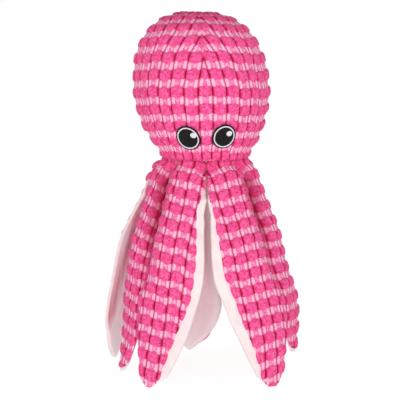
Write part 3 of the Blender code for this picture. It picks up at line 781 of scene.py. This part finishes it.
# The base: a round of white short plush that closes the head's underside inside the ring of
# legs, gathered on to the hem by one thread in long running stitches.
DISC_RADIUS = 0.0342
DISC_THICKNESS = 0.0025
THREAD_RING = 0.030
STITCH_COUNT = 44
THREAD_HALF = 0.0005
THREAD_DROP = 0.0006
THREAD_SWING = 0.0005
PUCKER_HEIGHT = 0.0011


def short_plush():
    """Brushed white plush: short pile that lies in soft patches, with painted pink shade where
    pink light is reflected into it from the corduroy, and painted light on the inner sides of
    linings."""
    pile = Finish("short_plush", Roughness=1.0, Sheen_Weight=0.7, Sheen_Roughness=0.4,
                  Specular_IOR_Level=0.1)
    soft = pile.noise(120, 3)
    fine = pile.noise(1300, 3, roughness=0.7)
    color = pile.mix(soft.rises(0.3, 0.7), tint(242, 222, 223), tint(249, 232, 232))
    color = pile.mix(fine.rises(0.50, 0.75) * 0.3, color, tint(226, 203, 206))
    # Painted light: the inner side of a lining is painted whiter, to stand for more light on it
    # in its shade.
    inside = pile.mix(soft.rises(0.3, 0.7), tint(252, 242, 243), tint(255, 250, 250))
    color = pile.mix(pile.marked("inner"), color, inside)
    # Painted pink shade: rose where pink light reflected from the corduroy falls into shade.
    pile.paint("Base Color", pile.mix(pile.marked("painted_pink_shade"), color, tint(216, 104, 136)))
    pile.bump(fine * 0.7 + soft * 0.3, 0.0007, 0.5)
    return pile.material


PLUSH = short_plush()
# Its top runs out from the middle and its underside back in, puckered between the stitches.
disc_share = np.linspace(0.02, 1, 30)
disc_share = np.concatenate([disc_share, disc_share[::-1]])[:, None]
disc_turn = full_turn(240)[None, :]
on_top = np.arange(60)[:, None] < 30
pucker = PUCKER_HEIGHT * unit(disc_share - 0.45) * np.where(on_top, 0.2, 1.4)
base = wrapped("gathered_base", settled(round_axis(
    disc_turn, disc_share * DISC_RADIUS, np.where(on_top, DISC_THICKNESS, 0)
    + pucker * np.sin(disc_turn * STITCH_COUNT / 2) ** 2)), PLUSH)
# Painted pink shade round the base's rim, where it lies in the shade of the neck.
mark(base, "painted_pink_shade", unit((disc_share + 0 * disc_turn - 0.86) / 0.06))
fix_to_head(base, "base_disc")

# The thread dips in and out of the base's underside: a wave round the ring, and a small
# circle carried along it.
stitch_turn = full_turn(STITCH_COUNT * 10)[:, None]
thread_turn = full_turn(8)[None, :]
thread_radius = THREAD_RING + THREAD_HALF * np.cos(thread_turn)
thread_rise = (THREAD_SWING * np.cos(stitch_turn * STITCH_COUNT) - THREAD_DROP
               + THREAD_HALF * np.sin(thread_turn))
thread = wrapped("gathering_thread", settled(round_axis(
    stitch_turn, thread_radius, thread_rise)), WHITE_THREAD, 0 * thread_rise,
    0 * thread_rise, endless=True)
fix_to_head(thread, "closing_thread")

# The eight legs: each is a long leaf of corduroy and white lining with a film between them,
# sewn round its edge, hung from the neck seam and bowed round its own length. First comes
# the cut that the three layers share: where each leg goes, and how wide and bowed it is.
LEG_WIDTH = 0.054
LEG_REACH = 0.078
LEG_THICKNESS = 0.0052
PANEL_THICKNESS = 0.0026
RIM_WIDTH = 0.0075
SIDE_CLEARANCE = 0.0006
TOP_CLEARANCE = 0.0002
LEAST_BOW = math.radians(22)
CROWDED_BOW = math.radians(99)
MOST_CROWDING = 0.5
NECK_PART = 0.15
HINGE_HEIGHT = NECK[2] - 0.0003
WIDTH_AT = (0, .06, .15, .25, .35, .42, .5, .6, .73, .82, .9, .96, 1)
WIDTH_SHARE = (.66, .63, .66, .79, .93, 1, .97, .86, .70, .55, .39, .25, .11)
FLARE_AT = (0, .01, .035, .08, .16, .25, .37, .5, .6, 1)
FLARE_SHARE = (0, .01, .16, .28, .42, .60, .84, .97, 1, 1)
PATH_AT = (0, 0.45, 0.8, 1)
NECK_RIM = 0.15
RIM_GROWTH = 0.25
TIP_RIM = 0.4
TIP_TAPER = 0.12
# Each leg's place round the neck in turns, its reach and its drift to the side at three
# places down it, how far its tip stands off the floor, and its rim's share on either side.
LEGS = {
    "front_left": (-0.07, (0.92, 1.06, 1.19), (-0.09, -0.13, -0.16), 0, (0.3, 1)),
    "front_right": (0.078, (0.95, 1.085, 1.21), (0.15, 0.30, 0.23), 0, (1, 0.3)),
    "right": (0.2, (0.89, 1.02, 1.01), (0.06, 0.10, 0.12), 0.08, (0.3, 0.3)),
    "rear_right": (0.311, (0.86, 0.90, 0.93), (0, -0.02, -0.04), 0, (0.3, 0.3)),
    "back_right": (0.417, (0.815, 0.86, 0.90), (-0.05, -0.20, -0.26), 0, (0.3, 0.3)),
    "back_left": (-0.464, (0.80, 0.71, 0.64), (-0.06, -0.12, 0.06), 0, (0.5, 0.5)),
    "rear_left": (-0.322, (1.02, 1.10, 1.06), (0.04, 0.20, 0.30), 0, (0.3, 0.7)),
    "left": (-0.194, (0.87, 0.91, 0.99), (0, 0, 0), 0, (0.3, 0.3)),
}


def middle_line(name, v):
    """Distance out from the neck's axis, drift to the side and height of a leg's middle."""
    _, reaches, drifts, lift, _ = LEGS[name]
    reach = LEG_REACH * through(PATH_AT, (reaches[0], *reaches), v)
    out = NECK_RADIUS + (reach - NECK_RADIUS) * through(FLARE_AT, FLARE_SHARE, v)
    drift = LEG_WIDTH * through(PATH_AT, (0, *drifts), v)
    return out, drift, HINGE_HEIGHT + (NECK[2] * lift - HINGE_HEIGHT) * v


def facing(name, v):
    """Outward and upward parts of the normal of a leg's middle line."""
    out_a, _, up_a = middle_line(name, v - 0.001)
    out_b, _, up_b = middle_line(name, v + 0.001)
    length = np.hypot(out_b - out_a, up_b - up_a)
    return (up_a - up_b) / length, (out_b - out_a) / length


def rim_width(name, v, side):
    """How far the lining stands out past the corduroy on one side."""
    share = NECK_RIM + (LEGS[name][4][side > 0] - NECK_RIM) * unit(v / RIM_GROWTH)
    return RIM_WIDTH * share * np.clip((1 + TIP_TAPER / 2 - v) / TIP_TAPER, TIP_RIM, 1)


# Where a side of a leg is fuller or slimmer than the leaf: places down it, and metres there.
FULLNESS = {
    ("front_left", 1): ((0, .13, .22, .4, .6, .85, 1), (.004, .004, -.001, -.001, .003, .001, 0)),
    ("front_left", -1): ((0, .9, 1), (0, 0, .001)),
    ("front_right", -1): ((0, .13, .22, .4, .5, .7, .84, .93, 1),
                          (.004, .004, .0005, .0015, .004, .005, .002, -.001, .0005)),
    ("front_right", 1): ((0, .85, .97, 1), (0, 0, .0022, .003)),
    ("rear_left", 1): ((0, .05, .2, .3, .5, .65, .8), (0, -.006, -.007, -.006, -.006, -.004, 0)),
    ("back_left", -1): ((0, .7, .85, .95, 1), (0, 0, .003, .005, .0055)),
    ("back_left", 1): ((0, .7, .85, .95, 1), (0, 0, .003, .005, .0055))}


def half_section(name, v, side):
    """Half a leg's width along its curve, and the angle that it bows through: a leg short of
    room bows more, and stays on its side of the plane midway to its neighbour."""
    names = list(LEGS)
    other = names[(names.index(name) + side) % len(names)]
    out, drift, _ = middle_line(name, v)
    azimuth = 2 * math.pi * LEGS[name][0]
    own = azimuth + np.arctan2(drift, out)
    other_out, other_drift, _ = middle_line(other, v)
    theirs = 2 * math.pi * LEGS[other][0] + np.arctan2(other_drift, other_out)
    between = (theirs - own + math.pi) % (2 * math.pi) - math.pi
    plane = own + between / 2 - azimuth
    outward, _ = facing(name, v)
    clear = TOP_CLEARANCE + (SIDE_CLEARANCE - TOP_CLEARANCE) * unit(v / NECK_PART)

    def room(bow):
        across, back = np.sin(bow) / bow, (1 - np.cos(bow)) / bow
        free = side * (out * np.sin(plane) - drift * np.cos(plane)) - clear
        return free / (across * np.cos(plane) + side * outward * back * np.sin(plane))

    wished = LEG_WIDTH / 2 * through(WIDTH_AT, WIDTH_SHARE, v) + rim_width(name, v, side)
    wished = wished + np.interp(v, *FULLNESS.get((name, side), ((0, 1), (0, 0))))
    crowding = unit((1 - room(LEAST_BOW) / wished) / MOST_CROWDING)
    bow = np.sqrt(LEAST_BOW ** 2 + CROWDED_BOW ** 2 * crowding)
    return np.minimum(wished, room(bow)), bow


NECK_TUCK = 0.01
TUCK_IN = 0.0012
TUCK_UP = 0.0030
BEND_END = 0.085
CURL_GROWTH = 0.12
CURL_END = 0.8
CURL_FADE = 0.25
CURL = 0.001
MOST_CURL = 0.0045
# How much further in each edge of a leg is curled, its left one first.
CURLS = {
    "front_left": (MOST_CURL, 0), "front_right": (0, MOST_CURL), "right": (MOST_CURL, CURL),
    "rear_right": (CURL, CURL), "back_right": (CURL, CURL), "back_left": (CURL, CURL),
    "rear_left": (0, 0), "left": (CURL, MOST_CURL)}


def on_leg(name, v, across, depth):
    """Points of a leg by share of its length, metres across from its middle line, and depth
    below its outer face. Each cross-section is an arc of its half width and bow, curled
    further in where it is pressed against its neighbour. Above the neck seam a leg is tucked
    in behind the head's hem."""
    v, across, depth = np.broadcast_arrays(v, across, depth)
    tucked = unit(-v / NECK_TUCK)
    v = np.maximum(v, 0)
    out, drift, up = middle_line(name, v)
    outward, upward = facing(name, v)
    low, low_bow = half_section(name, v, -1)
    high, high_bow = half_section(name, v, 1)
    half, bow = np.where(across < 0, low, high), np.where(across < 0, low_bow, high_bow)
    angle = across / half * bow
    pressed = np.where(across < 0, *CURLS[name]) * unit(np.abs(across) / half * 2 - 1) ** 2
    depth = (depth + pressed * unit(v / CURL_GROWTH) * unit((CURL_END - v) / CURL_FADE)
             + TUCK_IN * tucked)
    up = up + TUCK_UP * tucked
    sunk = half / bow * (1 - np.cos(angle)) + depth * np.cos(angle)
    lateral = drift + half / bow * np.sin(angle) - depth * np.sin(angle)
    away = out - outward * sunk
    azimuth = 2 * math.pi * LEGS[name][0]
    return np.stack([NECK[0] + away * math.sin(azimuth) + lateral * math.cos(azimuth),
                     NECK[1] - away * math.cos(azimuth) + lateral * math.sin(azimuth),
                     up - upward * sunk], -1)


def along_leg(name, v):
    """Length of a leg's middle line from the neck, in metres."""
    fine = np.linspace(0, 1, 401)
    out, drift, up = middle_line(name, fine)
    steps = np.sqrt(np.diff(out) ** 2 + np.diff(drift) ** 2 + np.diff(up) ** 2)
    return np.interp(v, fine, np.concatenate([[0], np.cumsum(steps)]))


def hang(piece, name, node, width, long):
    """Bake a sheet's place into its mesh and hide the model's part that it stands for."""
    start = on_leg(name, 0.0, 0.0, LEG_THICKNESS / 2)
    end = on_leg(name, BEND_END, 0.0, LEG_THICKNESS / 2)
    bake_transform(piece)
    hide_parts(node)
    float(width.mean() * long)


# The outer panels: corduroy cut to the leaf shape with its wales running down the leg, so
# that the curved edges cut them off one by one and the bubbles scallop the outline.
LEG_WALE = 0.0113
LEG_ROW = 0.0137
MIDDLE_WALE = 8
PANEL_END = {"front_left": 1.0, "front_right": 1.0}
SHORT_END = 0.985
PANEL_COLUMNS = 80
EDGE_CROWDING = 0.8
PANEL_STEP = 0.0007
TIP_LENGTH = 0.055
TIP_SPARE = 0.0005
EDGE_OVERLAP = 0.0003
WANDER = 0.07
WANDER_SIZE = 0.03
ROLL_AT_NECK = 0.0009
ROLL_GROWTH = 0.0013
ROLL_STOP = 0.0006
LAYER_GAP = 0.0002
NECK_SHADE_REACH = 0.010
NECK_SHADE = 0.4
CROWDED_SHADE = 0.85
CROWDED_WIDTH = 0.012
# Where each leg was cut from the cloth: how far its middle is past a wale's edge, how far
# its neck is past a row's start, and how steeply its rows climb to the side.
PATTERN = {
    "front_left": (0.35, 0.28, 0.2), "front_right": (0.60, 0.24, -0.12),
    "right": (0.50, 0.20, 0), "rear_right": (0.50, 0.70, 0.05), "back_right": (0.45, 0.30, 0),
    "back_left": (0.55, 0.80, -0.05), "rear_left": (0.50, 0.55, 0), "left": (0.50, 0.00, 0.1)}
RIM_START = 0.095
RIM_START_EASE = 0.05
# How much of each side's rim is left bare at these places down the leg.
RIM_AT = (0.175, 0.35, 0.48, 0.61, 0.75, 0.84, 0.93, 1)
RIM_SHOWN = {
    "front_left": (0, (.92, .81, .97, .97, 1.15, 1.15, .9, .3)),
    "front_right": ((.27, .87, 1.19, 1.4, 1.19, 1.05, .6, .1), 0),
    "right": (0, 0), "rear_right": (0.3, 0.4), "back_right": (0.4, 0.4),
    "back_left": (0.6, 0.6), "rear_left": (0.5, (1.7, 2.4) + 6 * (2.5,)), "left": (0.1, 0)}


def rim_shown(name, v, side):
    """How much of the rim is left bare by the corduroy, which hides it all at the neck."""
    share = np.interp(v, RIM_AT, RIM_SHOWN[name][side > 0] + np.zeros(len(RIM_AT)))
    return share * unit((v - RIM_START) / RIM_START_EASE)


def shoulder(share):
    """A quarter circle that rises steeply from 0 and levels out at 1."""
    return np.sqrt(1 - (1 - unit(share)) ** 2)


def blunted(v, end, length, spare, least=0.0):
    """1 down to a tip of that length, and from there an ellipse that would close a little
    past the end."""
    past = (v - end + length).clip(0) / (length + spare)
    return np.sqrt(np.clip(1 - past ** 2, least, 1))


def leg_panel(name, seed):
    """The corduroy of one leg: from edge to edge of the leaf, with the relief of its wales,
    its edges rolled under to the lining and its tip rounded off. Shade is painted on it where
    it is gathered at the neck and where it is pressed against its neighbour."""
    end = PANEL_END.get(name, SHORT_END)
    long = float(along_leg(name, end))
    v = np.concatenate([[-NECK_TUCK], np.linspace(0, end, int(long / PANEL_STEP))])[:, None]
    s = np.linspace(-1, 1, PANEL_COLUMNS)[None, :]
    s = np.sin(s * math.pi / 2 * EDGE_CROWDING) / math.sin(math.pi / 2 * EDGE_CROWDING)
    blunt = blunted(v, end, TIP_LENGTH, TIP_SPARE)
    length = along_leg(name, v)
    low, high = (half_section(name, np.maximum(v, 0), side)[0] - rim_width(name, v, side)
                 * rim_shown(name, v, side) + EDGE_OVERLAP for side in (-1, 1))
    reach = np.where(s < 0, low, high) * blunt
    wale_phase, row_phase, row_tilt = PATTERN[name]
    across = s * reach
    flat = on_leg(name, v, across, 0)
    wander = WANDER * clouds(flat, WANDER_SIZE, seed)
    wale = across / LEG_WALE + wale_phase + MIDDLE_WALE + wander
    row = (length - row_tilt * across) / LEG_ROW + row_phase + 1.2 * wander
    relief = bubbles(wale, row, flat, seed)
    across = across + np.sign(s) * np.abs(s) ** 6 * (0.35 * relief - EDGE_OVERLAP)
    edge = reach - np.abs(across)
    roll = shoulder(np.minimum(edge, long - length)
                    / (ROLL_AT_NECK + ROLL_GROWTH * unit(v / NECK_PART)))
    turned_in = (PANEL_THICKNESS - ROLL_STOP) * (0.2 + 0.8 * unit(v / 0.06))
    depth = PLUSH_SINK / 2 - relief * (0.3 + 0.7 * roll) + turned_in * (1 - roll)
    depth = np.minimum(depth, PANEL_THICKNESS - LAYER_GAP)
    under = np.linspace(0.97, -0.97, 21)[None, :]
    back_across = under * np.where(under < 0, low, high) * blunt
    points = np.concatenate([on_leg(name, v, across, depth),
                             on_leg(name, v, back_across, PANEL_THICKNESS)], 1)
    points[..., 2] = np.maximum(points[..., 2], LAYER_GAP)
    piece = wrapped(f"{name}_plush", points, CORDUROY,
                    np.concatenate([wale, back_across / LEG_WALE + MIDDLE_WALE], 1),
                    np.concatenate([row, row[:, :1] + 0 * under], 1), seed=seed)
    # Painted shade: crimson along an edge pressed against a neighbouring leg, and at the neck
    # where the leg is gathered.
    crease_shade = (unit(np.where(across < 0, *CURLS[name]) / MOST_CURL) * unit((v - 0.02) / 0.08)
               * unit((0.62 - v) / 0.3) * unit(1.25 - (edge + 0.001) / CROWDED_WIDTH))
    gathered = NECK_SHADE * unit(1 - v / NECK_SHADE_REACH)
    mark(piece, "painted_shade", np.concatenate([np.maximum(CROWDED_SHADE * crease_shade, gathered),
                                        0 * back_across], 1))
    hang(piece, name, f"{name}_leg_panel", (low + high) * blunt, long)


for number, leg in enumerate(LEGS):
    leg_panel(leg, 20 + number)

# The linings: white short plush cut a little wider than the corduroy, seamed round it a few
# millimetres inside their own edge, so that a soft pale rim stands out past the pink.
LINING_DEPTH = 0.0036
RIM_DIP = 0.0007
LINING_END = {"front_left": 0.985, "front_right": 0.985}
INSIDE_PINK_SHADE = 0.52
HIDDEN_EDGE = 0.0006
HIDDEN_DEPTH = 0.0029
HIDDEN_EASE = 0.0008
SEAM_EASE = 0.0012
ROUND_TIPS = {"back_left": 0.16}
SHARP_TIP = 0.05
LINING_SPARE = 0.0002
LINING_LEAST = 0.02
RIM_COLUMNS = 14
MIDDLE_COLUMNS = 15
EDGE_ROUND = 0.0022
RIM_SPREAD = 1.15
RIM_WAVE = 0.0003
RIM_WAVE_SIZE = 0.013
FOLD_SIZE = 0.008
FOLD_HEIGHT = 0.0007
FOLD_STRETCH = 0.22
EDGE_RIPPLE = 0.0006
RIPPLE_SIZE = 0.016
RIPPLE_REACH = 0.004
PINK_SHADE_EDGE = 0.009
INNER_EDGE = 0.004
CREASE_HALF = 0.0045
CREASE_FADE = 0.02
NECK_PINK_SHADE_REACH = 0.13
# The line of a crease down the inside, painted as shade with reflected pink light, as height
# above the floor and place to the side.
CREASES = {"rear_left": ((0.020, -0.0812), (0.0434, -0.0766), (0.0659, -0.0710),
                         (0.0881, -0.0655), (0.1104, -0.0585), (0.150, -0.0490))}


def lining_front(name, v, end, low, high, seed):
    """Places across and depths of a lining's outer side. From either edge a quarter circle
    rises to the rim, which waves a little, and the cloth dips from the corduroy's edge on."""
    rim_low, rim_high = rim_width(name, v, -1), rim_width(name, v, 1)
    bare_low, bare_high = rim_low * rim_shown(name, v, -1), rim_high * rim_shown(name, v, 1)
    start, stop = rim_low * RIM_SPREAD - low, high - rim_high * RIM_SPREAD
    share = np.linspace(0, 1, RIM_COLUMNS)[None, :]
    across = np.concatenate([
        rim_low * RIM_SPREAD * share - low,
        start + (stop - start) * np.linspace(0.03, 0.97, MIDDLE_COLUMNS)[None, :],
        high - rim_high * RIM_SPREAD * share[:, ::-1]], 1)
    column = np.arange(across.shape[1])[None, :]
    middle = (column >= RIM_COLUMNS) & (column < RIM_COLUMNS + MIDDLE_COLUMNS)
    edge = np.minimum(across + low, high - across)
    wave = RIM_WAVE * clouds(on_leg(name, v, across, 0), RIM_WAVE_SIZE, seed)
    depth = (LEG_THICKNESS / 2 - (LEG_THICKNESS / 2 - RIM_DIP) * shoulder(edge / EDGE_ROUND)
             + wave)
    bare = np.where(column < across.shape[1] / 2, bare_low, bare_high)
    hidden = (unit((edge - bare - np.minimum(bare, HIDDEN_EASE)) / SEAM_EASE)
              * unit((end - 0.02 - v) / 0.02))
    return across, depth + (np.where(middle, LINING_DEPTH, HIDDEN_DEPTH) - depth) * hidden


def lining_back(name, v, low, high, seed):
    """Places across and depths of a lining's inner side: a quarter circle from either edge,
    with soft folds along the leg."""
    share = np.linspace(0.97, -0.97, 41)[None, :]
    across = share * np.where(share < 0, low, high)
    fall = shoulder(np.minimum(across + low, high - across) / EDGE_ROUND)
    stretched = on_leg(name, v, across, LEG_THICKNESS) * [1, 1, FOLD_STRETCH]
    folds = FOLD_HEIGHT * (clouds(stretched, FOLD_SIZE, seed) - 0.6)
    return across, LEG_THICKNESS / 2 + LEG_THICKNESS / 2 * fall + folds * fall


def leg_lining(name, seed):
    """The lining of one leg: its outer and inner side, with edges that ripple less and less
    towards the middle. Its inner side is painted whiter as light, and painted pink as shade lit
    by pink light reflected from the corduroy, most near the neck and along a crease; at the neck
    the whole lining is painted pink as shade."""
    end = LINING_END.get(name, 1.0)
    v = np.linspace(0.0, end, 200)[:, None]
    blunt = blunted(v, end, ROUND_TIPS.get(name, SHARP_TIP), LINING_SPARE, LINING_LEAST)
    low, high = (blunt * (half_section(name, v, side)[0] - HIDDEN_EDGE * unit(
        1 - 3 * rim_shown(name, v, side))) for side in (-1, 1))
    front, front_depth = lining_front(name, v, end, low, high, seed)
    back, back_depth = lining_back(name, v, low, high, seed + 2)
    across = np.concatenate([front, back], 1)
    inner = np.arange(across.shape[1])[None, :] >= front.shape[1]
    flat = on_leg(name, v, across, LEG_THICKNESS * inner)
    edge = np.minimum(across + low, high - across)
    ripple = EDGE_RIPPLE * clouds(flat, RIPPLE_SIZE, seed + 4) * np.exp(-edge / RIPPLE_REACH)
    points = on_leg(name, v, across + np.sign(across) * ripple,
                    np.concatenate([front_depth, back_depth], 1))
    points[..., 2] = np.maximum(points[..., 2], 0)
    piece = wrapped(f"{name}_lining", points, PLUSH)
    # Painted pink shade: pink light reflected on to the inner side, most near the neck, and a
    # shaded crease; near the neck the whole lining gets it.
    painted_pink_shade = INSIDE_PINK_SHADE * unit(edge / PINK_SHADE_EDGE) * (1.35 - v)
    if name in CREASES:
        x, _, z = np.moveaxis(points, -1, 0)
        line = np.interp(z, *zip(*CREASES[name]))
        near = np.exp(-((x - line) / CREASE_HALF) ** 2)
        painted_pink_shade = np.maximum(painted_pink_shade, near * unit((z - CREASES[name][0][0]) / CREASE_FADE))
    mark(piece, "painted_pink_shade", np.maximum(inner * painted_pink_shade, unit(1.2 - v / NECK_PINK_SHADE_REACH)))
    # Painted light: the inner side, away from its edges, is painted whiter.
    mark(piece, "inner", inner * unit(edge / INNER_EDGE))
    hang(piece, name, f"{name}_leg_lining", low + high,
         float(along_leg(name, end)))


for number, leg in enumerate(LEGS):
    leg_lining(leg, 40 + number)

# The crinkle sheets: thin plastic film laid loose between the two layers of each leg, a
# little short of the seams all round, crumpled so that it rustles.
FILM_START = 0.035
FILM_END = 0.88
FILM_SHARE = 0.8
FILM_DEPTH = 0.0031
FILM_HALF = 0.00006
CRUMPLE_SIZE = 0.005
CRUMPLE_HEIGHT = 0.0004


def film():
    """Clear thin film, milky where it is creased."""
    foil = Finish("crinkle_film", Roughness=0.3, Coat_Weight=0.3)
    crease = foil.noise(260, 3, roughness=0.7)
    foil.paint("Base Color", foil.mix(crease.rises(0.4, 0.6), tint(214, 217, 222),
                                      tint(238, 240, 243)))
    foil.bump(crease, 0.0006, 0.7)
    return foil.material


FILM = film()


def crinkle(name, seed):
    """A film as long as the inside of a leg, with small sharp creases."""
    v = np.linspace(FILM_START, FILM_END, 120)[:, None]
    low, high = (FILM_SHARE * (half_section(name, v, side)[0] - rim_width(
        name, v, side) * np.maximum(1, rim_shown(name, v, side))) for side in (-1, 1))
    s = np.linspace(-1, 1, 30)[None, :]
    across = s * np.where(s < 0, low, high)
    crumple = np.abs(clouds(on_leg(name, v, across, 0), CRUMPLE_SIZE, seed)) - 0.4
    middle = FILM_DEPTH + CRUMPLE_HEIGHT * crumple
    points = np.concatenate([on_leg(name, v, across, middle - FILM_HALF),
                             on_leg(name, v, across[:, ::-1], middle[:, ::-1] + FILM_HALF)], 1)
    hang(wrapped(f"{name}_film", points, FILM), name, f"{name}_leg_crinkle",
         low + high, float(along_leg(name, FILM_END) - along_leg(name, FILM_START)))


for number, leg in enumerate(LEGS):
    crinkle(leg, 60 + number)
